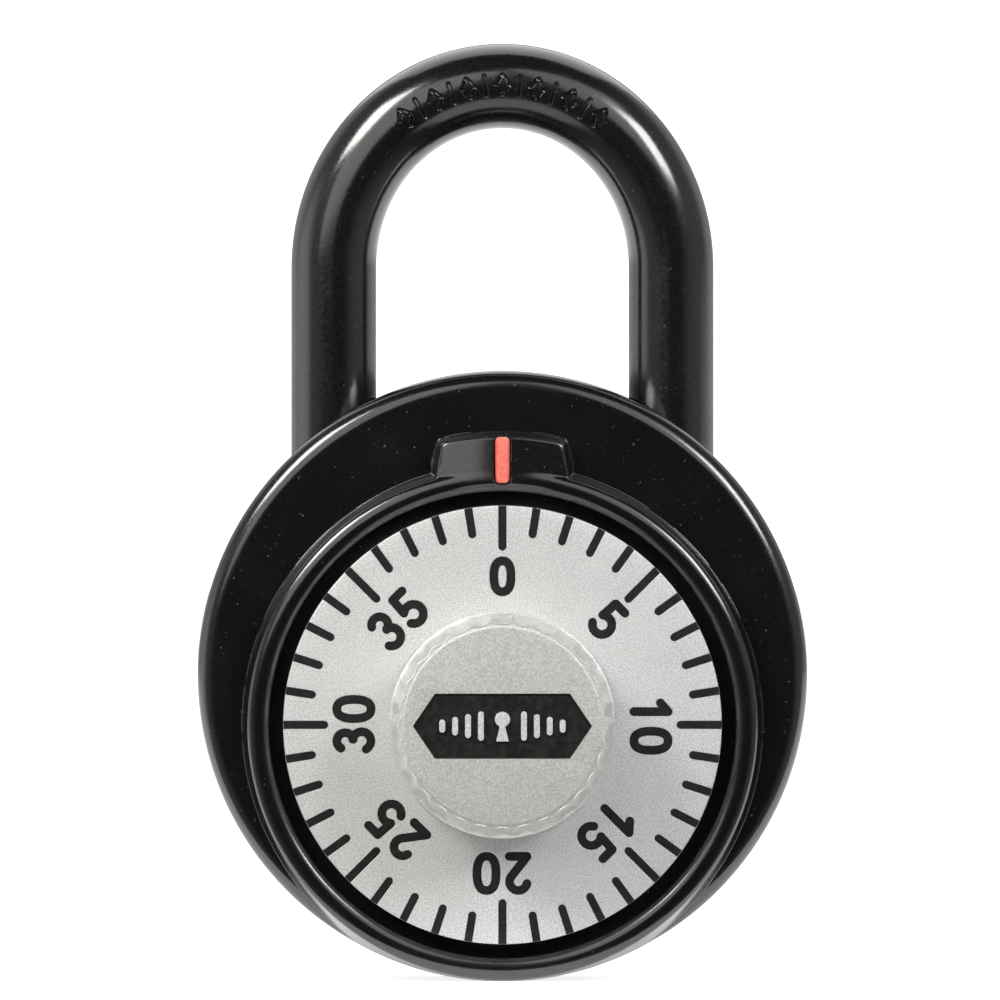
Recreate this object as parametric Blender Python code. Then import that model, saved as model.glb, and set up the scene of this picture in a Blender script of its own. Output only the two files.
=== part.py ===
"""Round combination padlock: case, dial, wheel pack, locking lever, latch and shackle.

Lengths are in millimetres and become metres where a mesh is made. Every piece is placed in the
case's frame, whose origin is the centre of the case in the middle plane of the shackle bar: X runs
to the right, Z up towards the shackle, and the dial faces -Y. An empty moves that frame so that the
world's origin lies at the inner crown of the shackle, where the padlock hangs.
"""

import math

import bmesh
import bpy

MM = 0.001

# Driving dimensions, in millimetres and degrees.
CASE_RADIUS = 25.0
CASE_FRONT = -8.0
CASE_REAR = 8.3
CASE_WALL = 1.2
DIAL_DROP = 4.0
DIAL_RADIUS = 17.95
DIAL_FRONT = -10.0
DIAL_BACK = -8.4
RING_INNER = 19.1
RING_OUTER = 20.9
RING_CREST = -10.4
PAD_CREST = -10.5
PAD_RADIUS = 23.7
PAD_FOOT = 19.55
INDEX_FRONT = -10.35
KNOB_FRONT = -18.0
KNOB_FOOT_RADIUS = 9.3
KNOB_FOOT_HEIGHT = 0.6
KNOB_RADIUS = 9.0
KNOB_NECK_RADIUS = 8.76
KNOB_TOP_RADIUS = 8.07
KNOB_CHAMFER = 0.43
KNOB_FLUTES = 30
KNOB_FLUTE_DEPTH = 0.42
BADGE_RECESS = 0.6
SPINDLE_BORE_DEPTH = 2.5
BAR_RADIUS = 3.5
LEG_OFFSET = 13.9
CROWN_INSIDE = 45.0
BOW_RISE = 15.0
TOE_END = 11.3
HEEL_END = -6.0
WHEEL_RADIUS = 9.0
WHEEL_THICKNESS = 1.4
GATE_FLOOR = 6.9
GATE_HALF_WIDTH = 1.5
CAM_NOTCHES = 12
FLY_INNER = 5.4
FLY_OUTER = 6.9
FLY_HALF_ANGLE = 6.0
LEVER_PIVOT = (-11.5, 0.0, -15.0)
LATCH_AXIS = (-9.8, 0.0, 16.6)
GAP = 0.3

# Places along Y of the stack behind the dial, front faces first.
CAM_FRONT = -5.5
WHEEL_2_FRONT = -1.5
WHEEL_1_FRONT = 1.7
WHEEL_POCKET_BACK = 5.0
LEVER_POCKET_BACK = 4.0
PIVOT_POCKET_BACK = 4.4
FRAME_FRONT = -6.5
FRAME_BACK = 6.1

DIAL_CENTRE = (0.0, 0.0, -DIAL_DROP)
HEEL_LEG = (LEG_OFFSET, 0.0, 0.0)
LATCH_GATE_ANGLE = 180.0
ALONG_X = (0.0, 0.0, math.radians(-90))
ALONG_Z = (math.radians(90), 0.0, 0.0)

# Finish: colour, metallic, roughness.
FINISHES = {
    "black_coating": ((0.018, 0.018, 0.02), 0.0, 0.32),
    "shackle_black": ((0.022, 0.022, 0.025), 0.3, 0.3),
    "dial_silver": ((0.62, 0.62, 0.61), 0.9, 0.34),
    "knob_silver": ((0.5, 0.5, 0.5), 0.95, 0.3),
    "inlay_black": ((0.015, 0.015, 0.016), 0.0, 0.4),
    "index_red": ((0.82, 0.08, 0.06), 0.0, 0.42),
    "cast_zinc": ((0.4, 0.41, 0.42), 0.9, 0.5),
    "wheel_brass": ((0.62, 0.46, 0.2), 1.0, 0.34),
    "bright_steel": ((0.55, 0.55, 0.56), 1.0, 0.28),
    "spring_steel": ((0.35, 0.36, 0.38), 1.0, 0.3),
}


def clear_scene():
    for found in list(bpy.data.objects):
        bpy.data.objects.remove(found)


def make_material(name):
    colour, metallic, roughness = FINISHES[name]
    material = bpy.data.materials.new(name)
    material.use_nodes = True
    shader = material.node_tree.nodes["Principled BSDF"]
    shader.inputs["Base Color"].default_value = (*colour, 1.0)
    shader.inputs["Metallic"].default_value = metallic
    shader.inputs["Roughness"].default_value = roughness
    material.diffuse_color = (*colour, 1.0)
    return material


def arc(centre, radius, start, end, steps):
    """Points of an arc in a plane, from one angle to the other in degrees."""
    angles = [math.radians(start + (end - start) * i / steps) for i in range(steps + 1)]
    return [(centre[0] + radius * math.cos(a), centre[1] + radius * math.sin(a)) for a in angles]


def circle(centre, radius, steps):
    return arc(centre, radius, 0, 360, steps)[:-1]


def ring_sector(inner, outer, middle, half_angle, steps):
    """Outline of a piece of a ring round the origin, in the XZ plane."""
    start, end = middle - half_angle, middle + half_angle
    return arc((0, 0), outer, start, end, steps) + arc((0, 0), inner, end, start, steps)


def loft(rings):
    """A closed solid through rings that have equal numbers of points."""
    shape = bmesh.new()
    loops = [[shape.verts.new(point) for point in ring] for ring in rings]
    for low, high in zip(loops, loops[1:]):
        for i, corner in enumerate(low):
            after = (i + 1) % len(low)
            shape.faces.new((corner, low[after], high[after], high[i]))
    shape.faces.new(loops[0])
    shape.faces.new(loops[-1])
    bmesh.ops.recalc_face_normals(shape, faces=shape.faces)
    return shape


def prism(outline, front, back):
    """An outline in X and Z, pushed along Y."""
    return loft([[(x, y, z) for x, z in outline] for y in (front, back)])


def block(low, high):
    outline = [(low[0], low[2]), (high[0], low[2]), (high[0], high[2]), (low[0], high[2])]
    return prism(outline, low[1], high[1])


def rod(radius, front, back, steps=32, centre=(0, 0)):
    return prism(circle(centre, radius, steps), front, back)


def turned(profile, steps):
    """A profile of radius and Y, turned round the Y axis. It may start and end on the axis."""
    shape = bmesh.new()
    corners = [shape.verts.new((radius, y, 0)) for radius, y in profile]
    edges = [shape.edges.new(pair) for pair in zip(corners, corners[1:])]
    if profile[0][0] > 0:
        edges.append(shape.edges.new((corners[-1], corners[0])))
    bmesh.ops.spin(
        shape, geom=corners + edges, cent=(0, 0, 0), axis=(0, 1, 0), angle=math.tau, steps=steps
    )
    bmesh.ops.remove_doubles(shape, verts=shape.verts, dist=1e-3)
    bmesh.ops.recalc_face_normals(shape, faces=shape.faces)
    return shape


def finish_mesh(name, shape):
    bmesh.ops.scale(shape, vec=(MM, MM, MM), verts=shape.verts)
    mesh = bpy.data.meshes.new(name)
    shape.to_mesh(mesh)
    shape.free()
    mesh.shade_smooth()
    mesh.set_sharp_from_angle(angle=math.radians(35))
    return mesh


def place(made, parent, at, turn):
    bpy.context.scene.collection.objects.link(made)
    made.parent = parent
    made.location = [value * MM for value in at]
    made.rotation_euler = turn


class Builder:
    """Adds named pieces under the frame's empty, and Booleans that shape them."""

    def __init__(self):
        self.frame = bpy.data.objects.new("padlock_frame", None)
        bpy.context.scene.collection.objects.link(self.frame)
        self.frame.location = (0, 0, -CROWN_INSIDE * MM)
        self.materials = {name: make_material(name) for name in FINISHES}

    def piece(self, name, shape, finish, at=(0, 0, 0), turn=(0, 0, 0)):
        made = bpy.data.objects.new(name, finish_mesh(name, shape))
        made.data.materials.append(self.materials[finish])
        place(made, self.frame, at, turn)
        return made

    def shape_with(self, target, operation, name, shape, turn=(0, 0, 0), at=None):
        """Joins a helper solid to the target or cuts it away; the helper shares its origin."""
        tool = bpy.data.objects.new(f"{target.name}_{name}", finish_mesh(name, shape))
        place(tool, self.frame, [c / MM for c in target.location] if at is None else at, turn)
        tool.hide_render = True
        tool.display_type = "WIRE"
        modifier = target.modifiers.new(name, "BOOLEAN")
        modifier.operation = operation
        modifier.solver = "EXACT"
        modifier.object = tool

    def cut(self, target, name, shape, **where):
        self.shape_with(target, "DIFFERENCE", name, shape, **where)

    def join(self, target, name, shape, **where):
        self.shape_with(target, "UNION", name, shape, **where)

    def wire(self, name, path, radius, finish, at=(0, 0, 0), turn=(0, 0, 0)):
        """A round wire with closed ends through points given in millimetres."""
        curve = bpy.data.curves.new(name, "CURVE")
        curve.dimensions = "3D"
        curve.bevel_depth = radius * MM
        curve.bevel_resolution = 1
        curve.use_fill_caps = True
        spline = curve.splines.new("POLY")
        spline.points.add(len(path) - 1)
        for point, (x, y, z) in zip(spline.points, path):
            point.co = (x * MM, y * MM, z * MM, 1)
        made = bpy.data.objects.new(name, curve)
        curve.materials.append(self.materials[finish])
        place(made, self.frame, at, turn)


def helix(radius, start, end, turns, first_angle=0, steps_per_turn=14):
    """Points of a coil along Y."""
    steps = round(turns * steps_per_turn)
    points = []
    for i in range(steps + 1):
        angle = math.radians(first_angle) + math.tau * turns * i / steps
        along = start + (end - start) * i / steps
        points.append((radius * math.cos(angle), along, radius * math.sin(angle)))
    return points


def make_front_case(builder):
    """The drawn cup with its rolled rear rim, dial ring and index pad."""
    corner, rim = 1.4, 1.0
    inside = CASE_RADIUS - CASE_WALL
    lip_inner, lip_front = 22.6, 7.5
    profile = [(0, CASE_FRONT)]
    profile += arc((CASE_RADIUS - corner, CASE_FRONT + corner), corner, -90, 0, 3)
    profile += arc((CASE_RADIUS - rim, CASE_REAR - rim), rim, 0, 90, 2)
    profile += [(lip_inner, CASE_REAR), (lip_inner, lip_front), (inside, lip_front)]
    profile += [(inside, CASE_FRONT + CASE_WALL), (0, CASE_FRONT + CASE_WALL)]
    case = builder.piece("front_case", turned(profile, 60), "black_coating")

    crest = (RING_OUTER - RING_INNER) / 2
    foot = CASE_FRONT + CASE_WALL - 0.1
    ring = [(RING_INNER, foot)]
    ring += arc((RING_INNER + crest, RING_CREST + crest), crest, 180, 360, 4)
    ring += [(RING_OUTER, foot)]
    builder.join(case, "dial_ring", turned(ring, 68), at=DIAL_CENTRE)

    half_width, half_angle = 5.9, 13

    def pad_ring(spread, y):
        """The pad's outline at one height, a little wider all round by the spread."""
        reach = half_angle + spread
        outline = arc((0, 0), PAD_RADIUS + spread, 90 - reach, 90 + reach, 5)
        outline += [(-half_width - spread, PAD_FOOT), (half_width + spread, PAD_FOOT)]
        return [(x, y, z) for x, z in outline]

    levels = ((0.35, CASE_FRONT + 0.6), (0, PAD_CREST + 0.3), (-0.3, PAD_CREST))
    pad = loft([pad_ring(spread, y) for spread, y in levels])
    builder.join(case, "index_pad", pad, at=DIAL_CENTRE)

    slot_half_width, slot_low, slot_high, slot_floor = 0.85, 19.95, 23.2, -9.6
    clear_of_front = PAD_CREST - 1.5
    slot = block((-slot_half_width, clear_of_front, slot_low), (slot_half_width, slot_floor, slot_high))
    builder.cut(case, "index_slot", slot, at=DIAL_CENTRE)
    bush_hole = 4.1
    builder.cut(case, "spindle_hole", rod(bush_hole, CASE_FRONT - 1, CASE_FRONT + 2), at=DIAL_CENTRE)
    for side, x in (("toe", -LEG_OFFSET), ("heel", LEG_OFFSET)):
        hole = rod(BAR_RADIUS + GAP, CASE_RADIUS / 2, CASE_RADIUS + 5)
        builder.cut(case, f"{side}_hole", hole, at=(x, 0, 0), turn=ALONG_Z)


def make_index_mark(builder):
    """The painted bar in the pad's slot, with round ends."""
    ends, middle, reach, thickness = 0.6, 21.575, 0.75, 0.45
    outline = arc((0, middle + reach), ends, 0, 180, 8) + arc((0, middle - reach), ends, 180, 360, 8)
    mark = prism(outline, INDEX_FRONT, INDEX_FRONT + thickness)
    builder.piece("index_mark", mark, "index_red", at=DIAL_CENTRE)


def make_back_cover(builder):
    """A pressed plate: its flange sits behind the rim, and its panel stands out flat."""
    flange, panel, sheet = 23.5, 20.6, 1.0
    front, face = 6.4, 8.6
    flange_back = front + 0.8
    profile = [(0, face)]
    profile += arc((panel - 0.8, face - 0.8), 0.8, 90, 0, 2)
    profile += [(panel, flange_back), (flange, flange_back), (flange, front)]
    profile += [(panel - 1.6, front), (panel - 1.6, face - sheet), (0, face - sheet)]
    builder.piece("back_cover", turned(profile[::-1], 60), "black_coating")


def make_inner_case(builder):
    """The cast frame round the works, with the bores that guide the shackle."""
    radius, pocket_radius = 23.5, 22.2
    frame = builder.piece("inner_case", rod(radius, FRAME_FRONT, FRAME_BACK, 60), "cast_zinc")
    front = FRAME_FRONT - 1

    wheel_pocket = circle((0, -DIAL_DROP), WHEEL_RADIUS + 0.9, 48)
    builder.cut(frame, "wheel_pocket", prism(wheel_pocket, front, WHEEL_POCKET_BACK))

    left, shelf, right = -15.0, 11.5, 3.4
    corner = math.degrees(math.acos(-10.6 / pocket_radius))
    end = math.degrees(math.acos(right / pocket_radius))
    lever_pocket = [(left, -15.0), (-8.5, -15.6), (-3.0, -5.0), (right, 4.0)]
    lever_pocket += arc((0, 0), pocket_radius, end, corner, 8)
    lever_pocket += [(-10.6, shelf), (left, shelf)]
    builder.cut(frame, "lever_pocket", prism(lever_pocket, front, LEVER_POCKET_BACK))

    pivot, dial_axis = (LEVER_PIVOT[0], LEVER_PIVOT[2]), (0, -DIAL_DROP)
    lever_boss, pin_hole, post_hole = 3.3, 1.8, 2.8
    through = (LEVER_POCKET_BACK - 1, FRAME_BACK + 3)
    builder.cut(frame, "pivot_pocket", prism(circle(pivot, lever_boss, 24), front, PIVOT_POCKET_BACK))
    builder.cut(frame, "pivot_hole", rod(pin_hole, *through, 24, pivot))
    builder.cut(frame, "post_hole", rod(post_hole, *through, 24, dial_axis))

    bore, spring_channel = BAR_RADIUS + GAP, 4.6
    above, channel_low, channel_high = CASE_RADIUS + 5, -13, 8
    toe, heel = (-LEG_OFFSET, 0, 0), (LEG_OFFSET, 0, 0)
    builder.cut(frame, "toe_bore", rod(bore, TOE_END - 0.7, above), at=toe, turn=ALONG_Z)
    builder.cut(frame, "heel_bore", rod(bore, channel_high - 1, above), at=heel, turn=ALONG_Z)
    channel = rod(spring_channel, channel_low, channel_high)
    builder.cut(frame, "heel_channel", channel, at=heel, turn=ALONG_Z)


def make_dial(builder):
    """The numbered disc, the fluted knob and the plate set into it."""
    hole, edge = 2.3, 0.3
    profile = [(hole, DIAL_FRONT), (DIAL_RADIUS - edge, DIAL_FRONT), (DIAL_RADIUS, DIAL_FRONT + edge)]
    profile += [(DIAL_RADIUS, DIAL_BACK), (hole, DIAL_BACK)]
    builder.piece("dial_plate", turned(profile, 60), "dial_silver", at=DIAL_CENTRE)

    steps_per_flute = 4
    steps = KNOB_FLUTES * steps_per_flute

    def knob_ring(radius, depth, y):
        points = []
        for i in range(steps):
            angle = math.tau * i / steps
            reach = radius - depth * (0.5 - 0.5 * math.cos(KNOB_FLUTES * angle))
            points.append((reach * math.cos(angle), y, reach * math.sin(angle)))
        return points

    foot = DIAL_FRONT - GAP
    levels = [
        (KNOB_FOOT_RADIUS, 0, foot),
        (KNOB_FOOT_RADIUS, 0, foot - KNOB_FOOT_HEIGHT + GAP),
        (KNOB_RADIUS, KNOB_FLUTE_DEPTH, foot - KNOB_FOOT_HEIGHT),
        (KNOB_NECK_RADIUS, KNOB_FLUTE_DEPTH, KNOB_FRONT + KNOB_CHAMFER),
        (KNOB_TOP_RADIUS, 0, KNOB_FRONT),
    ]
    knob_shape = loft([knob_ring(*level) for level in levels])
    knob = builder.piece("dial_knob", knob_shape, "knob_silver", at=DIAL_CENTRE)
    builder.cut(knob, "spindle_bore", rod(hole, DIAL_FRONT + 1, KNOB_FRONT + SPINDLE_BORE_DEPTH))

    def badge(inset):
        """Outline of the six-sided badge with pointed ends."""
        tip, shoulder, half = 7.3 - inset, 5.5 - inset / 2, 2.65 - inset
        upper = [(tip, 0), (shoulder, half), (-shoulder, half)]
        return upper + [(-x, -z) for x, z in upper]

    floor = KNOB_FRONT + BADGE_RECESS
    builder.cut(knob, "inlay_recess", prism(badge(0), KNOB_FRONT - 1, floor))
    inlay = prism(badge(0.2), KNOB_FRONT + 0.1, floor - 0.2)
    builder.piece("knob_inlay", inlay, "inlay_black", at=DIAL_CENTRE)


def make_spindle(builder):
    """The shaft from the knob to the drive cam, its bearing and its retaining ring."""
    radius, neck = 2.0, 1.5
    start, end = KNOB_FRONT + SPINDLE_BORE_DEPTH + GAP, -3.1
    groove = (-3.85, -3.25)
    profile = [(0, start), (radius, start), (radius, groove[0]), (neck, groove[0])]
    profile += [(neck, groove[1]), (radius, groove[1]), (radius, end), (0, end)]
    builder.piece("spindle", turned(profile, 24), "bright_steel", at=DIAL_CENTRE)

    bush = [(2.3, -7.8), (3.8, -7.8), (3.8, -6.5), (5.5, -6.5), (5.5, -5.9), (2.3, -5.9)]
    builder.piece("spindle_bush", turned(bush, 32), "wheel_brass", at=DIAL_CENTRE)
    clip = ring_sector(1.7, 3.2, 0, 150, 16)
    builder.piece("spindle_clip", prism(clip, -3.75, -3.35), "spring_steel", at=DIAL_CENTRE)


def make_wheel(builder, name, front, finish, gates, flies):
    """A notched wheel. Flies are (angle, outer end along Y) of the lugs that pick up a neighbour."""
    back = front + WHEEL_THICKNESS
    hole = 2.8 if finish == "wheel_brass" else 2.3
    disc = [(hole, front), (WHEEL_RADIUS, front), (WHEEL_RADIUS, back), (hole, back)]
    wheel = builder.piece(name, turned(disc, 60), finish, at=DIAL_CENTRE)
    for angle, tip in flies:
        outline = ring_sector(FLY_INNER, FLY_OUTER, angle, FLY_HALF_ANGLE, 3)
        middle = (front + back) / 2
        lug = prism(outline, min(middle, tip), max(middle, tip))
        builder.join(wheel, f"fly_{angle}", lug)
    for i in range(gates):
        gate = block(
            (GATE_FLOOR, front - 0.5, -GATE_HALF_WIDTH), (WHEEL_RADIUS + 2, back + 0.5, GATE_HALF_WIDTH)
        )
        turn = (0, math.radians(LATCH_GATE_ANGLE + 360 * i / gates), 0)
        builder.cut(wheel, f"gate_{i}", gate, turn=turn)


def make_wheel_pack(builder):
    make_wheel(builder, "drive_cam", CAM_FRONT, "bright_steel", CAM_NOTCHES, [(60, -2.3)])
    make_wheel(builder, "wheel_2", WHEEL_2_FRONT, "wheel_brass", 1, [(75, -3.1), (300, 1.1)])
    make_wheel(builder, "wheel_1", WHEEL_1_FRONT, "wheel_brass", 1, [(120, 0.5)])

    radius, neck = 2.5, 2.0
    flange, flange_front, flange_back = 4.6, 4.3, 4.8
    front, back = -2.6, 5.8
    groove = (-2.3, -1.7)
    post = [(0, front), (radius, front), (radius, groove[0]), (neck, groove[0]), (neck, groove[1])]
    post += [(radius, groove[1]), (radius, flange_front), (flange, flange_front)]
    post += [(flange, flange_back), (radius, flange_back), (radius, back), (0, back)]
    builder.piece("wheel_post", turned(post, 32), "bright_steel", at=DIAL_CENTRE)
    clip = ring_sector(2.2, 4.0, 0, 150, 16)
    builder.piece("post_clip", prism(clip, -2.2, -1.8), "spring_steel", at=DIAL_CENTRE)
    spacer = [(2.8, 0.2), (4.6, 0.2), (4.6, 1.4), (2.8, 1.4)]
    builder.piece("wheel_spacer", turned(spacer, 32), "bright_steel", at=DIAL_CENTRE)
    make_wave_spring(builder)


def make_wave_spring(builder):
    """A thin washer with three waves, between the rear wheel and the post's flange."""
    inner, outer, middle = 2.9, 4.3, 3.7
    wave, sheet, steps = 0.22, 0.3, 36
    shape = bmesh.new()
    rows = []
    for i in range(steps):
        angle = math.tau * i / steps
        lift = middle + wave * math.sin(3 * angle)
        corners = ((inner, -sheet / 2), (outer, -sheet / 2), (outer, sheet / 2), (inner, sheet / 2))
        rows.append(
            [shape.verts.new((r * math.cos(angle), lift + dy, r * math.sin(angle))) for r, dy in corners]
        )
    for i, row in enumerate(rows):
        after = rows[(i + 1) % steps]
        for j in range(4):
            k = (j + 1) % 4
            shape.faces.new((row[j], row[k], after[k], after[j]))
    bmesh.ops.recalc_face_normals(shape, faces=shape.faces)
    builder.piece("wave_spring", shape, "spring_steel", at=DIAL_CENTRE)


def relative(points, origin):
    return [(x - origin[0], z - origin[2]) for x, z in points]


def make_lever(builder):
    """The locking lever: its arm, boss, fence across the wheels and housing for the latch."""
    arm_outline = [(-13.5, -15.2), (-14.4, -11.0), (-14.4, 4.0), (-9.8, 10.4), (-9.8, 16.0), (-6.0, 16.0)]
    arm_outline += [(-6.0, 9.3), (-11.6, 1.5), (-11.6, -11.0), (-9.5, -15.2)]
    arm = prism(relative(arm_outline, LEVER_PIVOT), -1.8, 1.8)
    lever = builder.piece("locking_lever", arm, "cast_zinc", at=LEVER_PIVOT)
    builder.join(lever, "boss", rod(2.3, -2.4, 2.0, 24))

    def in_case(low, high):
        moved = [tuple(c - o for c, o in zip(corner, LEVER_PIVOT)) for corner in (low, high)]
        return block(*moved)

    fence_height = 0.65
    fence = in_case(
        (-13.0, -5.7, -DIAL_DROP - fence_height), (-9.4, 3.3, -DIAL_DROP + fence_height)
    )
    builder.join(lever, "fence", fence)
    builder.join(lever, "housing", in_case((-9.85, -2.9, 13.9), (-4.4, 2.9, 19.2)))
    builder.cut(lever, "channel", in_case((-11.0, -1.9, 14.9), (-5.3, 1.9, 18.3)))
    builder.cut(lever, "pin_bore", rod(1.75, -4, 4, 24))

    front, back = -3.7, 5.8
    groove = (-3.2, -2.7)
    pin = [(0, front), (1.5, front), (1.5, groove[0]), (1.1, groove[0]), (1.1, groove[1])]
    pin += [(1.5, groove[1]), (1.5, back), (0, back)]
    builder.piece("lever_pivot", turned(pin, 24), "bright_steel", at=LEVER_PIVOT)
    clip = ring_sector(1.25, 2.6, 0, 150, 14)
    builder.piece("pivot_clip", prism(clip, -3.1, -2.8), "spring_steel", at=LEVER_PIVOT)

    wire, reach = 0.2, 2.05
    coil = helix(reach, 2.45, 3.75, 2.5, first_angle=180)
    path = [(-reach, 2.25, 7.0), (-reach, 2.3, 3.5)] + coil + [(reach, 3.8, 1.8)]
    builder.wire("lever_spring", path, wire, "spring_steel", at=LEVER_PIVOT)


def make_latch(builder):
    """The latch bolt that holds the shackle's toe, and the coil spring in its back."""
    tail, tip = -7.6, -11.9
    outline = [(tail, 15.2), (-11.3, 15.2), (tip, 16.4), (tip, 17.2), (-11.1, 18.0), (tail, 18.0)]
    bolt = builder.piece(
        "latch_bolt", prism(relative(outline, LATCH_AXIS), -1.6, 1.6), "bright_steel", at=LATCH_AXIS
    )
    builder.cut(bolt, "spring_bore", rod(1.25, -0.2, 4, 20), turn=ALONG_X)
    wire, reach = 0.16, 0.85
    coil = helix(reach, 0.05, 4.2, 6, steps_per_turn=10)
    builder.wire("latch_spring", coil, wire, "spring_steel", at=LATCH_AXIS, turn=ALONG_X)


def bar_ring(centre, normal, radius, sides=16):
    """A ring of points round a centre in the XZ plane, square to the bar."""
    points = []
    for i in range(sides):
        angle = math.tau * i / sides
        across = radius * math.cos(angle)
        points.append(
            (centre[0] + across * normal[0], radius * math.sin(angle), centre[1] + across * normal[1])
        )
    return points


def make_shackle(builder):
    """The bent bar, with the latch notch in its toe leg and the ring groove in its heel leg."""
    bow_base = CROWN_INSIDE + BAR_RADIUS - BOW_RISE
    toe_taper, heel_taper, bow_steps = 1.2, 0.5, 22
    rings = [
        bar_ring((LEG_OFFSET, HEEL_END), (1, 0), BAR_RADIUS - heel_taper),
        bar_ring((LEG_OFFSET, HEEL_END + heel_taper), (1, 0), BAR_RADIUS),
    ]
    for i in range(bow_steps + 1):
        angle = math.pi * i / bow_steps
        centre = (LEG_OFFSET * math.cos(angle), bow_base + BOW_RISE * math.sin(angle))
        across = (math.cos(angle) / LEG_OFFSET, math.sin(angle) / BOW_RISE)
        length = math.hypot(*across)
        rings.append(bar_ring(centre, (across[0] / length, across[1] / length), BAR_RADIUS))
    rings += [
        bar_ring((-LEG_OFFSET, TOE_END + toe_taper), (-1, 0), BAR_RADIUS),
        bar_ring((-LEG_OFFSET, TOE_END), (-1, 0), BAR_RADIUS - toe_taper),
    ]
    moved = [[(x - LEG_OFFSET, y, z) for x, y, z in ring] for ring in rings]
    shackle = builder.piece("shackle", loft(moved), "shackle_black", at=HEEL_LEG)

    notch = [(-9.5, 10.7), (-12.2, 16.1), (-12.2, 18.6), (-9.5, 18.6)]
    builder.cut(shackle, "latch_notch", prism(relative(notch, HEEL_LEG), -5, 5))
    groove = [(2.7, -5.0), (5.0, -5.0), (5.0, -3.8), (2.7, -3.8)]
    builder.cut(shackle, "ring_groove", turned(groove, 32), turn=ALONG_Z)

    clip = ring_sector(2.95, 4.3, 90, 150, 18)
    builder.piece("heel_clip", prism(clip, -4.8, -4.0), "spring_steel", at=HEEL_LEG, turn=ALONG_Z)
    wire, reach = 0.35, 2.9
    coil = helix(reach, -12.4, HEEL_END - GAP - wire, 4.5)
    builder.wire("shackle_spring", coil, wire, "spring_steel", at=HEEL_LEG, turn=ALONG_Z)


def main():
    clear_scene()
    builder = Builder()
    make_front_case(builder)
    make_index_mark(builder)
    make_back_cover(builder)
    make_inner_case(builder)
    make_dial(builder)
    make_spindle(builder)
    make_wheel_pack(builder)
    make_lever(builder)
    make_latch(builder)
    make_shackle(builder)


main()
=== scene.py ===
"""Looks of the round combination padlock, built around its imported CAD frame.

Lengths are in millimetres and become metres where a mesh is made. X runs to the right, Z up, and the
dial faces -Y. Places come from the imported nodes' boxes; the constants below are the fine shapes that
the plain CAD solids leave out.
"""

import math

import bmesh
import bpy
import numpy as np
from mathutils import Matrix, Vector


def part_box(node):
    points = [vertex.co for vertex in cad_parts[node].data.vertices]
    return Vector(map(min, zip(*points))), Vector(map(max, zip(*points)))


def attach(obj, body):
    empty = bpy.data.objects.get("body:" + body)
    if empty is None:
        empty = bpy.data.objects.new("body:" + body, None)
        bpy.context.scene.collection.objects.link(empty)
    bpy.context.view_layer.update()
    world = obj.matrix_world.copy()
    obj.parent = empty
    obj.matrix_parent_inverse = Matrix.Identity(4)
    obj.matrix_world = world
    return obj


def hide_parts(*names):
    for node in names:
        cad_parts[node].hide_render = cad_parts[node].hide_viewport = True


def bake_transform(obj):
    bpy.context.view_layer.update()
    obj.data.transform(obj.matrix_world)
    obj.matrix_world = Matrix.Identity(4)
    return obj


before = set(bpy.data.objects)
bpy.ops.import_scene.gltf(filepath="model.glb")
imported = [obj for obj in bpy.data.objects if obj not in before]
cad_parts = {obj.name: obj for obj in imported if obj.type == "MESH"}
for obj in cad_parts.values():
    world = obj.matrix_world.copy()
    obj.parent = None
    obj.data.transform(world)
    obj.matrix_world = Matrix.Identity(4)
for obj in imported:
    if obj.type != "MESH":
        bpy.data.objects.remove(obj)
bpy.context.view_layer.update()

MM = 0.001


def box_of(node):
    """Lowest and highest corners of a CAD node, in millimetres."""
    low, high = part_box(node)
    return low / MM, high / MM


# Places and main sizes, from the CAD nodes.
CASE_LOW, CASE_HIGH = box_of("front_case")
CASE_RADIUS = (CASE_HIGH.x - CASE_LOW.x) / 2
CASE_CENTRE = Vector((0, 0, (CASE_HIGH.z + CASE_LOW.z) / 2))
CASE_REAR = CASE_HIGH.y
PAD_CREST = CASE_LOW.y
PLATE_LOW, PLATE_HIGH = box_of("dial_plate")
PLATE_RADIUS = (PLATE_HIGH.x - PLATE_LOW.x) / 2
DIAL_CENTRE = Vector((0, 0, (PLATE_HIGH.z + PLATE_LOW.z) / 2))
DIAL_DROP = CASE_CENTRE.z - DIAL_CENTRE.z
KNOB_LOW, KNOB_HIGH = box_of("dial_knob")
KNOB_RADIUS = (KNOB_HIGH.x - KNOB_LOW.x) / 2
SHACKLE_LOW, SHACKLE_HIGH = box_of("shackle")
BAR_RADIUS = (SHACKLE_HIGH.y - SHACKLE_LOW.y) / 2
LEG_OFFSET = (SHACKLE_HIGH.x - SHACKLE_LOW.x) / 2 - BAR_RADIUS

# Edges sharper than these angles, in degrees, are shaded as creases.
SHARP_ANGLE = 30
CASE_SHARP_ANGLE = 55
KNOB_SHARP_ANGLE = 28

# Fine shape of the case front.
CASE_FACE = -8.0
CASE_WALL = 1.2
CASE_CORNER = 1.45
CASE_RIM = 1.0
SPINDLE_HOLE_RADIUS = 4.1
SHACKLE_HOLE_GAP = 0.3
RING_INNER = 19.1
RING_MIDDLE = 20.0
RING_HALF_WIDTH = 0.92
RING_CROWN = 0.62
RING_CREST = -10.4
RING_WALL_SLOPE = 4.7
RING_FOOT_RADIUS = 21.2
PAD_TOP_RADIUS = 23.75
PAD_CROWN = 0.016
PAD_TILT = 0.09
SLOT_HALF_WIDTH = 0.64
SLOT_HALF_HEIGHT = 1.93
SLOT_CORNER = 0.42
SLOT_RADIUS = 21.66
SLOT_FLOOR = -9.95
MARK_FRONT = -10.3

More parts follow.
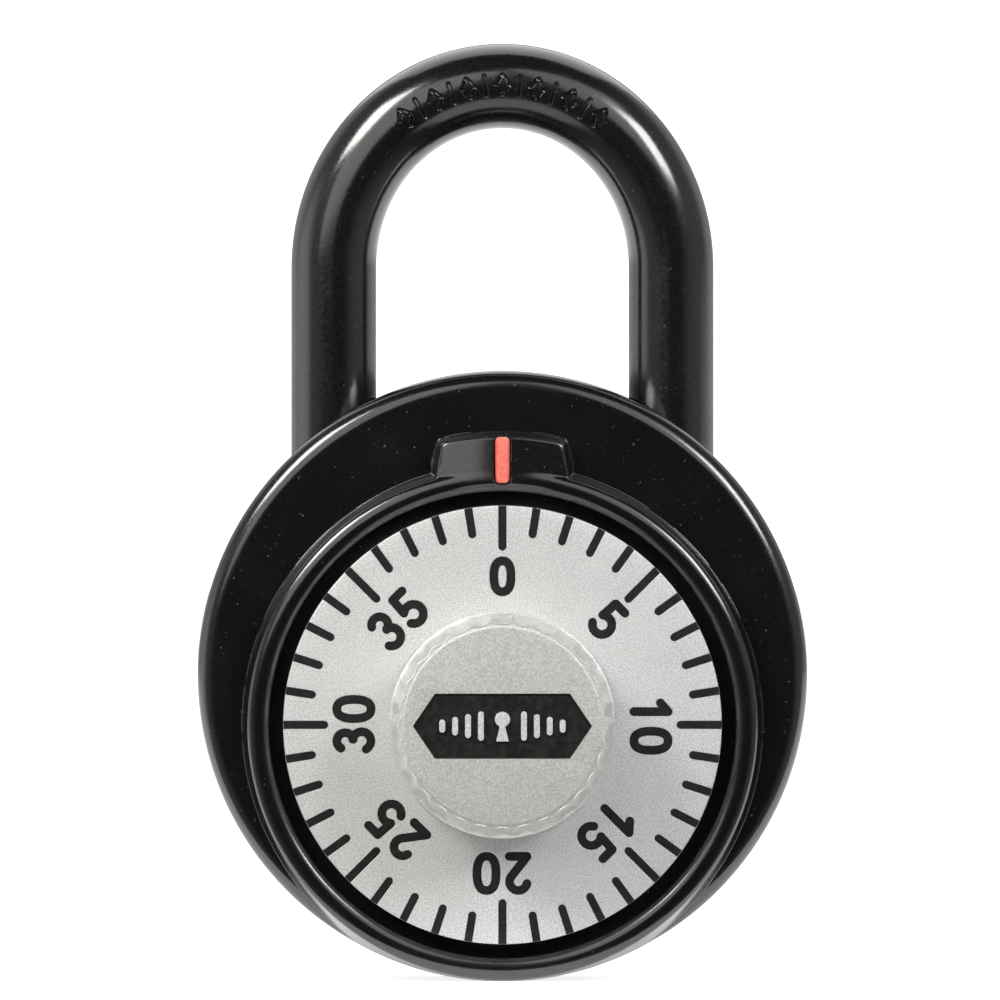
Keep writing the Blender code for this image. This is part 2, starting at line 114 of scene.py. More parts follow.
# Fine shape of the dial.
TICKS = 40
TICKS_PER_NUMERAL = 5
MAJOR_TICK_END = 14.25
MINOR_TICK_END = 15.45
NUMERAL_RADIUS = 12.15
DIGIT_SPACING = 2.6
ZERO_SCALE = 0.9
TICK_TUBE = 0.425
DIGIT_TUBE = 0.45
MARK_TUBE_LIFT = 0.2
MARK_PAINT_DEPTH = 0.05
KNOB_FLUTES = 30
FLUTE_DEPTH = 0.24
KNOB_TOP_RADIUS = 8.07
BADGE_RECESS = 0.6

# Fine shape of the shackle's bow.
BOW_RISE = 15.0
BOW_BASE = SHACKLE_HIGH.z - BAR_RADIUS - BOW_RISE

# Brightness of the room by direction, and of the background as the camera sees it.
WORLD_BEHIND = 0.56
WORLD_LEFT = 0.32
WORLD_FAR_LEFT = 1.0
WORLD_RIGHT = 0.35
WORLD_FRONT = 0.008
WORLD_SEEN = 1.6


# ---------------------------------------------------------------- mesh helpers


def arc(centre, radius, start, end, steps):
    """Points of an arc in a plane, from one angle to the other in degrees."""
    angles = [math.radians(start + (end - start) * i / steps) for i in range(steps + 1)]
    return [(centre[0] + radius * math.cos(a), centre[1] + radius * math.sin(a)) for a in angles]


def circle(radius, steps):
    """Points of a whole circle in a plane."""
    angles = [math.tau * i / steps for i in range(steps)]
    return [(radius * math.cos(a), radius * math.sin(a)) for a in angles]


def grid(rows, loop=False, caps=False):
    """A solid through rings of points. It closes on itself as a loop, or with a face at each end."""
    shape = bmesh.new()
    rings = [[shape.verts.new(point) for point in row] for row in rows]
    pairs = list(zip(rings, rings[1:]))
    if loop:
        pairs.append((rings[-1], rings[0]))
    for low, high in pairs:
        for i, corner in enumerate(low):
            after = (i + 1) % len(low)
            shape.faces.new((corner, low[after], high[after], high[i]))
    if caps:
        shape.faces.new(rings[0])
        shape.faces.new(rings[-1])
    bmesh.ops.recalc_face_normals(shape, faces=shape.faces)
    return shape


def prism(outline, front, back):
    """An outline in X and Z, pushed along Y."""
    return grid([[(x, y, z) for x, z in outline] for y in (front, back)], caps=True)


def turned(profile, steps, loop=False, caps=False):
    """A profile of radius and Y, turned round the Y axis."""
    return grid([[(u, y, v) for u, v in circle(r, steps)] for r, y in profile], loop, caps)


def rounded(corners, radius, steps=4):
    """A profile whose inner corners are rounded; the first and last points stay."""
    points = [corners[0]]
    for before, corner, after in zip(corners, corners[1:], corners[2:]):
        here = Vector(corner)
        into, out = Vector(before) - here, Vector(after) - here
        reach = min(radius, into.length * 0.45, out.length * 0.45)
        start, end = here + into.normalized() * reach, here + out.normalized() * reach
        for i in range(steps + 1):
            t = i / steps
            points.append(tuple(start * (1 - t) ** 2 + here * 2 * t * (1 - t) + end * t * t))
    points.append(corners[-1])
    return points


def tube(path, radius, sides=12, closed=False, cap_rings=4):
    """A round tube along a smooth path, with domed ends unless it is closed."""
    points = [Vector(p) for p in path]
    count = len(points)
    rows = []

    def ring(centre, along, reach):
        across = along.cross(Vector((0, 1, 0)))
        if across.length < 1e-6:
            across = Vector((1, 0, 0))
        across.normalize()
        other = along.cross(across).normalized()
        return [tuple(centre + (across * u + other * v) * reach) for u, v in circle(1, sides)]

    for i, centre in enumerate(points):
        if closed:
            along = points[(i + 1) % count] - points[i - 1]
        else:
            along = points[min(i + 1, count - 1)] - points[max(i - 1, 0)]
        rows.append(ring(centre, along.normalized(), radius))
    if closed:
        return grid(rows, loop=True)
    first = (points[0] - points[1]).normalized()
    last = (points[-1] - points[-2]).normalized()
    domes = [(i + 0.5) / cap_rings * math.pi / 2 for i in range(cap_rings)]
    start = [ring(points[0] + first * radius * math.sin(a), -first, radius * math.cos(a)) for a in domes]
    end = [ring(points[-1] + last * radius * math.sin(a), last, radius * math.cos(a)) for a in domes]
    return grid(start[::-1] + rows + end, caps=True)


def merged(shapes):
    """Several shapes in one, each still closed on its own."""
    whole = bmesh.new()
    for shape in shapes:
        mesh = bpy.data.meshes.new("part")
        shape.to_mesh(mesh)
        shape.free()
        whole.from_mesh(mesh)
        bpy.data.meshes.remove(mesh)
    return whole


def helix(radius, start, end, turns, steps_per_turn=28):
    """Points of a coil along Z."""
    steps = round(turns * steps_per_turn)
    angles = [math.tau * turns * i / steps for i in range(steps + 1)]
    return [
        (radius * math.cos(a), radius * math.sin(a), start + (end - start) * i / steps)
        for i, a in enumerate(angles)
    ]


def new_object(name, shape, at=(0, 0, 0), materials=(), sharp=35):
    """An object from a shape in millimetres, shaded smooth but for edges sharper than an angle."""
    bmesh.ops.scale(shape, vec=(MM, MM, MM), verts=shape.verts)
    mesh = bpy.data.meshes.new(name)
    shape.to_mesh(mesh)
    shape.free()
    for material in materials:
        mesh.materials.append(material)
    mesh.shade_smooth()
    mesh.set_sharp_from_angle(angle=math.radians(sharp))
    made = bpy.data.objects.new(name, mesh)
    made.location = Vector(at) * MM
    bpy.context.scene.collection.objects.link(made)
    return made


def carve(target, shape, operation="DIFFERENCE", own_overlaps=False, sharp=35):
    """Applies a Boolean between the target and a shape given in the target's own place."""
    tool = new_object("tool", shape, target.location / MM)
    modifier = target.modifiers.new("carve", "BOOLEAN")
    modifier.operation = operation
    modifier.solver = "EXACT"
    modifier.use_self = own_overlaps
    modifier.object = tool
    bpy.context.view_layer.update()
    evaluated = target.evaluated_get(bpy.context.evaluated_depsgraph_get())
    mesh = bpy.data.meshes.new_from_object(evaluated)
    target.modifiers.clear()
    old = target.data
    target.data = mesh
    mesh.name = old.name
    mesh.shade_smooth()
    mesh.set_sharp_from_angle(angle=math.radians(sharp))
    bpy.data.meshes.remove(old)
    bpy.data.objects.remove(tool)


def adopt(piece, body, slot, *nodes):
    """The piece rides on a body and stands for CAD nodes, which it hides. The slot is not used."""
    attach(piece, body)
    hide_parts(*nodes)


# ------------------------------------------------------------------- materials


class Finish:
    """A Principled material and the nodes that vary it. Texture space is the object's, in metres."""

    def __init__(self, name, **sockets):
        self.material = bpy.data.materials.new(name)
        self.material.use_nodes = True
        self.nodes = self.material.node_tree.nodes
        self.links = self.material.node_tree.links
        self.shader = self.nodes["Principled BSDF"]
        for socket, value in sockets.items():
            self.shader.inputs[socket.replace("_", " ")].default_value = value
        self.place = self.nodes.new("ShaderNodeTexCoord").outputs["Object"]
        self.normal = None

    def node(self, kind, inputs=None, **settings):
        """A new node, its inputs set to numbers or linked to sockets."""
        made = self.nodes.new("ShaderNode" + kind)
        for name, value in settings.items():
            setattr(made, name, value)
        for socket, value in (inputs or {}).items():
            if isinstance(value, bpy.types.NodeSocket):
                self.links.new(value, made.inputs[socket])
            else:
                made.inputs[socket].default_value = value
        return made

    def stretched(self, scale):
        """Texture places scaled along each axis."""
        return self.node("Mapping", {"Vector": self.place, "Scale": scale}).outputs[0]

    def noise(self, size, detail=2.0, roughness=0.5, vector=None, distortion=0.0):
        """Noise whose blobs are about this many millimetres across."""
        inputs = {
            "Vector": vector or self.place, "Scale": 1 / (size * MM), "Detail": detail,
            "Roughness": roughness, "Distortion": distortion,
        }
        return self.node("TexNoise", inputs).outputs["Fac"]

    def spread(self, value, low, high, new_low=0.0, new_high=1.0):
        """Goes smoothly from new_low to new_high while the value goes from low to high."""
        inputs = {0: value, 1: low, 2: high, 3: new_low, 4: new_high}
        return self.node("MapRange", inputs, interpolation_type="SMOOTHSTEP").outputs[0]

    def math(self, operation, first, second=0.0):
        return self.node("Math", {0: first, 1: second}, operation=operation).outputs[0]

    def blend(self, share, first, second):
        """The first colour, going to the second where share is 1."""
        made = self.node("Mix", {0: share}, data_type="RGBA")
        for socket, colour in ((6, first), (7, second)):
            if isinstance(colour, bpy.types.NodeSocket):
                self.links.new(colour, made.inputs[socket])
            else:
                made.inputs[socket].default_value = (*colour, 1.0)
        return made.outputs[2]

    def bump(self, height, microns):
        """Relief of this many microns, laid over any that the finish has already."""
        inputs = {"Height": height, "Distance": microns * 1e-6, "Strength": 1.0}
        if self.normal:
            inputs["Normal"] = self.normal
        self.normal = self.node("Bump", inputs).outputs[0]
        self.links.new(self.normal, self.shader.inputs["Normal"])

    def colour(self, source):
        self.links.new(source, self.shader.inputs["Base Color"])

    def rough(self, source):
        self.links.new(source, self.shader.inputs["Roughness"])

    def radius(self):
        """Distance from the object's own Y axis, in metres."""
        flat = self.node("VectorMath", {0: self.place, 1: (1, 0, 1)}, operation="MULTIPLY").outputs[0]
        return self.node("VectorMath", {0: flat}, operation="LENGTH").outputs["Value"]


def near(finish, value, centre, width):
    """A narrow band, 1 where value is at the centre and 0 a width away."""
    apart = finish.math("ABSOLUTE", finish.math("SUBTRACT", value, centre * MM))
    return finish.spread(apart, 0.0, width * MM, 1.0, 0.0)


def coat_texture(finish, colour, grain, roughness, chips=None):
    """Baked enamel: fine orange peel, small specks of dust and faint rubbed patches."""
    fine = finish.noise(grain, 3, 0.6)
    patches = finish.noise(6.0, 3, 0.55)
    lighter = tuple(c * 1.9 for c in colour)
    base = finish.blend(finish.spread(fine, 0.35, 0.75), colour, lighter)
    dust = finish.spread(finish.noise(0.28, 1, 0.4), 0.755, 0.80)
    base = finish.blend(finish.math("MULTIPLY", dust, 0.35), base, (0.22, 0.22, 0.21))
    low, high = roughness
    rub = finish.spread(patches, 0.3, 0.75, low, high)
    rough = finish.math("ADD", rub, finish.spread(fine, 0.3, 0.8, -0.02, 0.05))
    if chips:
        base = finish.blend(chips, base, (0.5, 0.5, 0.48))
        rough = finish.math("ADD", rough, finish.math("MULTIPLY", chips, 0.25))
    finish.colour(base)
    finish.rough(rough)
    finish.bump(finish.noise(0.9, 2, 0.5), 4)
    finish.bump(fine, 1.3)


def case_black():
    """The case's enamel, chipped in spots at the ring's foot and the pad's far edge."""
    finish = Finish("enamel_black_case", IOR=1.75, Specular_IOR_Level=0.5)
    radius = finish.radius()
    ring_foot = near(finish, radius, RING_FOOT_RADIUS, 0.35)
    edge = finish.math("MAXIMUM", ring_foot, near(finish, radius, PAD_TOP_RADIUS, 0.4))
    spots = finish.spread(finish.noise(0.22, 2, 0.6), 0.72, 0.76)
    chips = finish.math("MULTIPLY", edge, spots)
    coat_texture(finish, (0.0048, 0.0047, 0.005), 0.16, (0.14, 0.2), chips)
    return finish.material


def back_black():
    """The back cover's enamel, duller than the case's."""
    finish = Finish("enamel_black_back", IOR=1.5)
    coat_texture(finish, (0.007, 0.007, 0.0073), 0.2, (0.22, 0.34))
    return finish.material


def shackle_black():
    """The bar's finish, with long shallow waves from bending."""
    finish = Finish("oxide_black_shackle", IOR=1.75)
    coat_texture(finish, (0.006, 0.006, 0.0064), 0.22, (0.14, 0.19))
    finish.bump(finish.noise(1.6, 3, 0.6, finish.stretched((1, 1, 0.25))), 5)
    return finish.material


def silver(name, colour, roughness):
    """Satin metal: a fine cast grain with faint smudges."""
    finish = Finish(name, Metallic=1.0)
    fine = finish.noise(0.13, 3, 0.7)
    smudge = finish.noise(3.5, 3, 0.6)
    darker = tuple(c * 0.74 for c in colour)
    lighter = tuple(c * 1.06 for c in colour)
    smudged = tuple(c * 0.8 for c in colour)
    base = finish.blend(finish.spread(fine, 0.36, 0.64), darker, lighter)
    base = finish.blend(finish.spread(smudge, 0.35, 0.8, 0.0, 0.25), base, smudged)
    finish.colour(base)
    finish.rough(finish.spread(smudge, 0.25, 0.8, roughness, roughness + 0.08))
    finish.bump(fine, 3)
    return finish.material


def pitted_paint(name, ior, patch_size, thick, thin, roughness, microns):
    """Black paint that is a little uneven and pitted."""
    finish = Finish(name, IOR=ior)
    patches = finish.noise(patch_size, 3, 0.6)
    finish.colour(finish.blend(finish.spread(patches, 0.4, 0.8), thick, thin))
    finish.rough(finish.spread(patches, 0.3, 0.8, *roughness))
    finish.bump(patches, microns)
    return finish.material


def mark_paint():
    """Paint laid into the dial's grooves."""
    thick, thin = (0.006, 0.0055, 0.005), (0.017, 0.0155, 0.014)
    return pitted_paint("dial_paint", 1.4, 0.35, thick, thin, (0.5, 0.65), 12)


def inlay_black():
    """Enamel on the badge, smoother than the dial's paint."""
    thick, thin = (0.007, 0.0065, 0.006), (0.016, 0.0145, 0.013)
    return pitted_paint("inlay_enamel", 1.5, 0.5, thick, thin, (0.36, 0.5), 10)


def index_red():
    """Signal-red paint, mottled deep and pale, with painted shade darkening it towards its two long sides,
    along the slot's walls.
    """
    finish = Finish("index_paint", IOR=1.5, Coat_Weight=0.3, Coat_Roughness=0.15)
    across = finish.node("SeparateXYZ", {0: finish.place}).outputs[0]
    # Painted shade: the red darkens towards both long sides of the mark, next to the slot's walls.
    side = finish.spread(finish.math("ABSOLUTE", across), 0.38 * MM, 0.6 * MM)
    patches = finish.noise(0.3, 3, 0.6)
    # The third colour, rim, is the darker red of that painted shade.
    deep, pale, rim = (0.98, 0.185, 0.15), (1.0, 0.3, 0.25), (0.62, 0.035, 0.012)
    middle = finish.blend(finish.spread(patches, 0.35, 0.75), deep, pale)
    finish.colour(finish.blend(finish.math("MULTIPLY", side, 0.85), middle, rim))
    finish.rough(finish.spread(patches, 0.3, 0.8, 0.35, 0.5))
    finish.bump(patches, 8)
    return finish.material


def zinc():
    """Die casting: mottled grey, dull, with a grainy skin."""
    finish = Finish("cast_zinc", Metallic=0.9)
    patches = finish.noise(1.2, 4, 0.65)
    dark, light = (0.36, 0.37, 0.38), (0.52, 0.53, 0.54)
    finish.colour(finish.blend(finish.spread(patches, 0.3, 0.75), dark, light))
    finish.rough(finish.spread(patches, 0.3, 0.8, 0.42, 0.6))
    finish.bump(finish.noise(0.25, 3, 0.6), 10)
    return finish.material


def turned_metal(name, colour, low, high):
    """Lathe-turned metal: circular tool lines round the part's Y axis, with stains."""
    finish = Finish(name, Metallic=1.0)
    rings = finish.node(
        "TexWave", {"Vector": finish.place, "Scale": 900.0, "Distortion": 1.5, "Detail": 2.0},
        wave_type="RINGS", rings_direction="Y",
    ).outputs["Fac"]
    stains = finish.noise(2.0, 3, 0.6)
    darker = tuple(c * 0.72 for c in colour)
    finish.colour(finish.blend(finish.spread(stains, 0.35, 0.8), colour, darker))
    finish.rough(finish.spread(stains, 0.3, 0.8, low, high))
    finish.bump(rings, 4)
    return finish.material


def spring_wire():
    """Drawn steel wire with fine lines along it."""
    finish = Finish("spring_steel", Metallic=1.0)
    drawn = finish.noise(0.12, 2, 0.5, finish.stretched((1, 1, 0.2)))
    finish.colour(finish.blend(drawn, (0.3, 0.31, 0.33), (0.45, 0.46, 0.48)))
    finish.rough(finish.spread(drawn, 0.3, 0.7, 0.24, 0.36))
    finish.bump(drawn, 4)
    return finish.material


# ------------------------------------------------------------------ front case


def smooth_min(first, second, soft):
    """The lower of two fields, with a fillet of about this width where they cross."""
    low, gap = np.minimum(first, second), np.abs(first - second)
    return low - soft * np.log1p(np.exp(-gap / soft))


def smooth_max(first, second, soft):
    return -smooth_min(-first, -second, soft)


def ring_front(radius):
    """Y of the dial ring: an oval crest with a drafted wall outside it."""
    wall_share = 0.985
    wall_start = wall_share * RING_HALF_WIDTH
    reach = radius - RING_MIDDLE
    share = np.minimum(np.abs(reach) / RING_HALF_WIDTH, 1)
    crest = RING_CREST + RING_CROWN * (1 - np.sqrt(1 - share**2))
    wall_top = RING_CREST + RING_CROWN * (1 - math.sqrt(1 - wall_share**2))
    wall = wall_top + (reach - wall_start) * RING_WALL_SLOPE
    return np.where(reach > wall_start, wall, crest)


def pad_front(x, z, radius):
    """Y of the index pad: a slightly crowned top with sloping, rounded sides."""
    foot_x, foot_z, lean = 5.75, 19.55, 0.164
    ring_overlap, outer_corner, inner_corner = 0.42, 0.16, 0.08
    inset, slope, soft = 0.14, 5.2, 0.045
    side = np.sqrt(1 - lean**2) * (np.abs(x) - foot_x) + lean * (z - foot_z)
    outside = smooth_max(side, radius - PAD_TOP_RADIUS, outer_corner)
    outside = smooth_max(outside, RING_INNER + ring_overlap - radius, inner_corner)
    drop = slope * soft * np.logaddexp(0, (outside + inset) / soft)
    return PAD_CREST + PAD_CROWN * x**2 + PAD_TILT * (z - foot_z) + drop


def slot_floor(x, z):
    """Y of the index slot: flat inside its rounded outline, with steep walls."""
    wall_slope, rounding = 7.0, 0.01
    across = np.abs(x) - SLOT_HALF_WIDTH + SLOT_CORNER
    along = np.abs(z - SLOT_RADIUS) - SLOT_HALF_HEIGHT + SLOT_CORNER
    outside = np.hypot(np.maximum(across, 0), np.maximum(along, 0)) - SLOT_CORNER
    outside += np.minimum(np.maximum(across, along), 0)
    return SLOT_FLOOR - wall_slope * np.maximum(outside, -rounding)


def case_front(x, z):
    """Y of the case's front at points given from the dial's axis."""
    ring_fillet, pad_fillet, slot_fillet = 0.09, 0.06, 0.02
    radius = np.hypot(x, z)
    from_case = np.hypot(x, z - DIAL_DROP)
    past = np.clip(from_case - (CASE_RADIUS - CASE_CORNER), 0, CASE_CORNER)
    face = CASE_FACE + CASE_CORNER - np.sqrt(CASE_CORNER**2 - past**2)
    front = smooth_min(face, ring_front(radius), ring_fillet)
    front = np.where(z > 0, smooth_min(front, pad_front(x, z, radius), pad_fillet), front)
    return np.where(z > 0, smooth_max(front, slot_floor(x, z), slot_fillet), front)


def steps_by_density(density, start, end, count, samples=3000):
    """Places from start to end, closer together where density is higher."""
    places = np.linspace(start, end, samples)
    total = np.concatenate([[0], np.cumsum(density((places[1:] + places[:-1]) / 2))])
    return np.interp(np.linspace(0, total[-1], count), total, places)


def column_angles():
    """Angles round the dial, closer together at the pad's sides and across its slot."""

    def density(degrees):
        pad_side = np.minimum(np.abs(degrees - 74.5), np.abs(degrees - 105.5)) < 3.2
        slot = np.abs(degrees - 90) < 2.4
        return 1 + 5.0 * pad_side + 6.0 * slot

    return np.radians(steps_by_density(density, -90, 270, 641)[:-1])


def row_radii(angle, count):
    """Radii along one column, from the ring's inner wall to the case's outline."""
    lift = DIAL_DROP * math.sin(angle)
    outline = lift + math.sqrt(lift**2 - DIAL_DROP**2 + CASE_RADIUS**2)

    def density(radius):
        x, z = radius * math.cos(angle), radius * math.sin(angle)
        past = np.hypot(x, z - DIAL_DROP) - (CASE_RADIUS - CASE_CORNER)
        corner = np.where(past > 0, 1 / np.sqrt(np.maximum(CASE_CORNER**2 - past**2, 0.002)), 0)
        crest = radius - RING_MIDDLE
        within = np.maximum(RING_HALF_WIDTH**2 - crest**2, 0.01)
        ring = np.where(np.abs(crest) < RING_HALF_WIDTH, 1 / np.sqrt(within), 0)
        foot = np.abs(radius - RING_FOOT_RADIUS) < 0.5
        pad_top = np.abs(radius - PAD_TOP_RADIUS) < 0.55
        return 0.35 + 3.0 * ring + 2.4 * corner + 2.0 * foot + 1.8 * pad_top

    return steps_by_density(density, RING_INNER, outline, count)


def make_front_case():
    """The drawn cup: face, dial ring and index pad in one skin, side wall, rolled rim and inside."""
    angles = column_angles()
    count = 112
    radii = np.array([row_radii(a, count) for a in angles]).T
    x, z = radii * np.cos(angles), radii * np.sin(angles)
    y = case_front(x, z)

    def round_dial(radius, height):
        return [(radius * math.cos(a), height, radius * math.sin(a)) for a in angles]

    about_case = np.arctan2(z[-1] - DIAL_DROP, x[-1])

    def round_case(radius, height):
        return [(radius * math.cos(a), height, radius * math.sin(a) + DIAL_DROP) for a in about_case]

    inside_face = CASE_FACE + CASE_WALL
    under_plate = (SPINDLE_HOLE_RADIUS, 9.0, 14.0, 17.6, RING_INNER - 0.3, RING_INNER)
    rows = [round_dial(r, CASE_FACE) for r in under_plate]
    wall = np.array(round_dial(RING_INNER, 0))
    for share in (0.16, 0.4, 0.7):
        row = wall.copy()
        row[:, 1] = CASE_FACE + (y[0] - CASE_FACE) * share
        rows.append([tuple(p) for p in row])
    rows += [list(zip(x[i], y[i], z[i])) for i in range(count)]
    corner_end = CASE_FACE + CASE_CORNER
    for share in (0.33, 0.66, 1.0):
        row = np.array(round_case(CASE_RADIUS, 0))
        row[:, 1] = y[-1] + (corner_end + 0.4 - y[-1]) * share
        rows.append([tuple(p) for p in row])
    for height in (-4.5, -3.0, -1.5, 0.0, 1.5, 3.0, 4.5, 6.0, 7.0):
        rows.append(round_case(CASE_RADIUS, height))
    rim_inner, rim_edge, rim_front = 22.5, 0.3, 7.5
    wall_inside = CASE_RADIUS - CASE_WALL
    rim = arc((CASE_RADIUS - CASE_RIM, CASE_REAR - CASE_RIM), CASE_RIM, 0, 90, 8)
    rim += arc((rim_inner + rim_edge, CASE_REAR - rim_edge), rim_edge, 90, 180, 4)
    rim += [(rim_inner, rim_front), (wall_inside, rim_front)]
    inside = [(wall_inside, h) for h in (5.0, 2.5, 0.0, -2.5, -5.0, inside_face)]
    rows += [round_case(r, h) for r, h in rim + inside]
    rows += [round_dial(r, inside_face) for r in (18.0, 11.0, SPINDLE_HOLE_RADIUS)]

    shell = grid(rows, loop=True)
    case = new_object("case_front_shell", shell, DIAL_CENTRE, [case_black()], CASE_SHARP_ANGLE)
    hole = circle(BAR_RADIUS + SHACKLE_HOLE_GAP, 48)
    for side in (-1, 1):
        shaft = [[(side * LEG_OFFSET + u, v, h) for u, v in hole] for h in (18.0, 34.0)]
        carve(case, grid(shaft, caps=True), sharp=CASE_SHARP_ANGLE)
    adopt(case, "case", "black_coating", "front_case")


def make_index_mark():
    """Paint in the slot: a rounded bar with a soft meniscus."""
    gap = 0.035
    half_width, half_height = SLOT_HALF_WIDTH - gap, SLOT_HALF_HEIGHT - gap
    corner = SLOT_CORNER - 0.03

    def outline(inset):
        points = []
        reach = max(corner - inset, 0.05)
        for quarter, (sx, sz) in enumerate(((1, 1), (-1, 1), (-1, -1), (1, -1))):
            centre = (sx * (half_width - inset - reach), sz * (half_height - inset - reach))
            points += arc(centre, reach, 90 * quarter, 90 * quarter + 90, 6)
        return points

    top = MARK_FRONT
    layers = [(0, SLOT_FLOOR + 0.05), (0, top + 0.1), (0.03, top + 0.04), (0.1, top + 0.01), (0.22, top)]
    rows = [[(px, height, pz) for px, pz in outline(inset)] for inset, height in layers]
    centre = DIAL_CENTRE + Vector((0, 0, SLOT_RADIUS))
    mark = new_object("index_paint_bar", grid(rows, caps=True), centre, [index_red()])
    adopt(mark, "case", "index_red", "index_mark")


def make_back_cover():
    """The pressed back plate: a flange behind the rim and a panel with one shallow bead."""
    low, high = box_of("back_cover")
    flange, panel, sheet = (high.x - low.x) / 2, 20.6, 1.0
    face, front = high.y, low.y
    step = front + 0.8
    outer = [(0.6, face), (15.6, face), (16.0, face - 0.25), (17.2, face - 0.25), (17.6, face)]
    outer += [(panel - 0.9, face), (panel, face - 0.8), (panel, step), (flange, step)]
    inner = [(flange, front), (panel - 1.6, front), (panel - 1.6, face - sheet), (0.6, face - sheet)]
    profile = rounded(outer, 0.5) + inner
    disc = turned(profile, 200, caps=True)
    cover = new_object("back_plate", disc, CASE_CENTRE, [back_black()], SHARP_ANGLE)
    adopt(cover, "case", "black_coating", "back_cover")


# ------------------------------------------------------------------------ dial


def oval_point(half_width, half_height, angle, squareness=0.82):
    """A point of an oval with fuller corners than an ellipse."""
    u, v = math.cos(angle), math.sin(angle)
    across = math.copysign(abs(u) ** squareness, u)
    return (half_width * across, half_height * math.copysign(abs(v) ** squareness, v))


def digit_strokes(digit):
    """Smooth strokes of a digit, about 1.5 wide and 2.8 high, round its own middle."""
    wide, tall = 0.74, 1.4
    if digit == "0":
        rim = [oval_point(wide + 0.04, tall, math.tau * i / 32) for i in range(32)]
        return [rim + [rim[0]]]
    if digit == "1":
        return [[(0.22, -tall), (0.22, tall)], [(0.22, tall), (-0.5, tall - 0.62)]]
    if digit == "2":
        bend = arc((0.0, 0.68), 0.72, 168, -38, 12)
        return [bend, [bend[-1], (-0.7, -tall)], [(-0.7, -tall), (0.74, -tall)]]
    if digit == "3":
        return [arc((-0.02, 0.72), 0.68, 150, -78, 12), arc((-0.02, -0.64), 0.76, 78, -150, 12)]
    bowl = arc((-0.02, -0.6), 0.8, 130, -150, 14)
    return [[(0.62, tall), (-0.44, tall)], [(-0.44, tall), bowl[0]], bowl]


def mark_strokes():
    """Every stroke on the dial's face with its radius, in X and Z from its axis, clockwise."""
    strokes = []
    for tick in range(TICKS):
        angle = math.tau * tick / TICKS
        outward = (math.sin(angle), math.cos(angle))
        major = tick % TICKS_PER_NUMERAL == 0
        end = MAJOR_TICK_END if major else MINOR_TICK_END
        reaches = (end + TICK_TUBE * 0.8, PLATE_RADIUS + 0.6)
        strokes.append((TICK_TUBE, [(outward[0] * r, outward[1] * r) for r in reaches]))
        if not major:
            continue
        label = str(tick)
        scale = 1.0 if tick else ZERO_SCALE
        for place, digit in enumerate(label):
            shift = (place - (len(label) - 1) / 2) * DIGIT_SPACING
            for stroke in digit_strokes(digit):
                placed = []
                for u, v in stroke:
                    across, up = u * scale + shift, v * scale + NUMERAL_RADIUS
                    placed.append((
                        across * math.cos(angle) + up * math.sin(angle),
                        up * math.cos(angle) - across * math.sin(angle),
                    ))
                strokes.append((DIGIT_TUBE, placed))
    return strokes


def mark_tubes(front):
    """Tubes along every stroke, standing half out of the dial's face."""
    shapes = []
    for radius, stroke in mark_strokes():
        closed = stroke[0] == stroke[-1]
        path = [(u, front - MARK_TUBE_LIFT, v) for u, v in (stroke[:-1] if closed else stroke)]
        shapes.append(tube(path, radius, sides=14, closed=closed))
    return merged(shapes)


def make_dial_plate(finish):
    """The disc with its divisions and numerals sunk into the face, and the paint in them."""
    front, back = PLATE_LOW.y, PLATE_HIGH.y
    hole = 2.3
    edge = rounded([(PLATE_RADIUS - 1, front), (PLATE_RADIUS, front), (PLATE_RADIUS, back)], 0.12)
    profile = [(hole, front)] + edge + [(hole, back)]
    disc = turned(profile, 240, loop=True)
    plate = new_object("dial_face", disc, DIAL_CENTRE, [finish], SHARP_ANGLE)
    carve(plate, mark_tubes(front), own_overlaps=True, sharp=SHARP_ANGLE)
    adopt(plate, "dial", "dial_silver", "dial_plate")

    top, bottom = front + MARK_PAINT_DEPTH, front + 0.5
    inner, outer = 6.0, PLATE_RADIUS - 0.02
    slab = turned([(inner, top), (outer, top), (outer, bottom), (inner, bottom)], 120, loop=True)
    paint = new_object("dial_marks", slab, DIAL_CENTRE, [mark_paint()])
    carve(paint, mark_tubes(front), operation="INTERSECT", own_overlaps=True)
    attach(paint, "dial")


def inlay_outline(inset):
    """The six-sided badge with pointed ends, clockwise."""
    tip, shoulder, half = 7.3 - inset, 5.5 - inset / 2, 2.65 - inset
    return [(tip, 0), (shoulder, half), (-shoulder, half), (-tip, 0), (-shoulder, -half), (shoulder, -half)]


